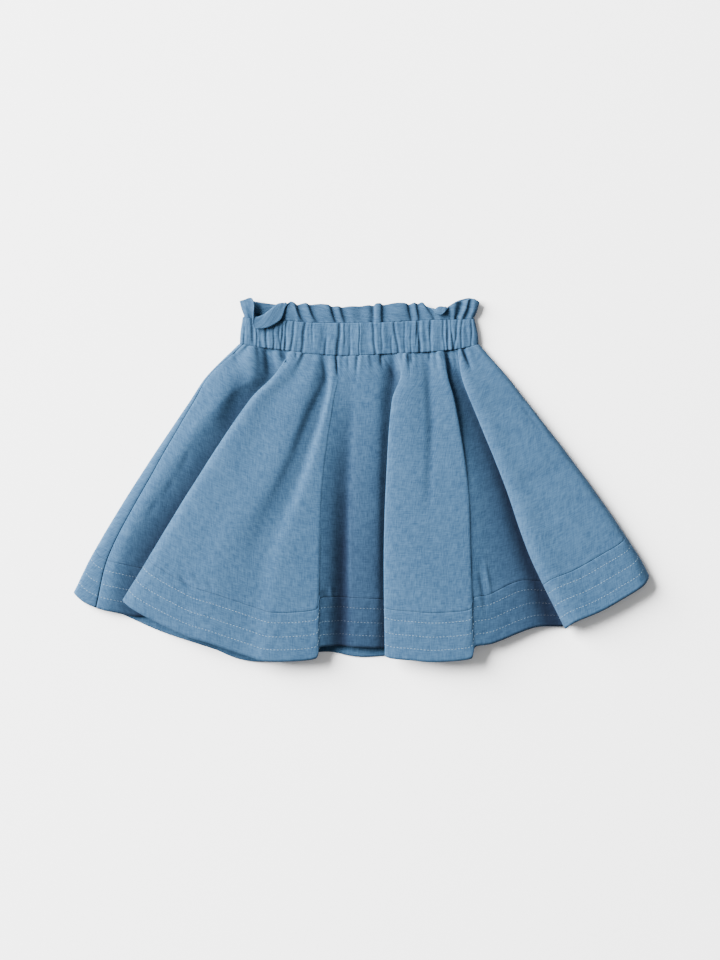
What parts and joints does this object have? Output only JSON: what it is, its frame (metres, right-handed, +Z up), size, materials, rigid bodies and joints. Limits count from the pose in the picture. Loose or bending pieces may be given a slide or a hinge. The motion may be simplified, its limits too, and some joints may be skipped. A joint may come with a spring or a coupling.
{
  "type": "chambray skirt",
  "caption": "Child's gathered chambray skirt laid flat, with a frill over an elastic casing, soft flutes and a deep hem band.",
  "frame": {"origin": "middle of the laid-out skirt's bounds, on the surface that it lies on", "axes": "+X across the skirt along its widest line, to the right as seen from above; +Y from the hem towards the waist; +Z up, out of the front"},
  "size_m": [0.5736, 0.3635, 0.0197],
  "materials": {
    "chambray": "matte, soft slub weave"
  },
  "bodies": {
    "root": {"front_skirt": "chambray", "back_skirt": "chambray", "front_hem_band": "chambray", "back_hem_band": "chambray", "front_waistband": "chambray", "back_waistband": "chambray", "front_frill": "chambray", "back_frill": "chambray"}
  },
  "joints": []
}
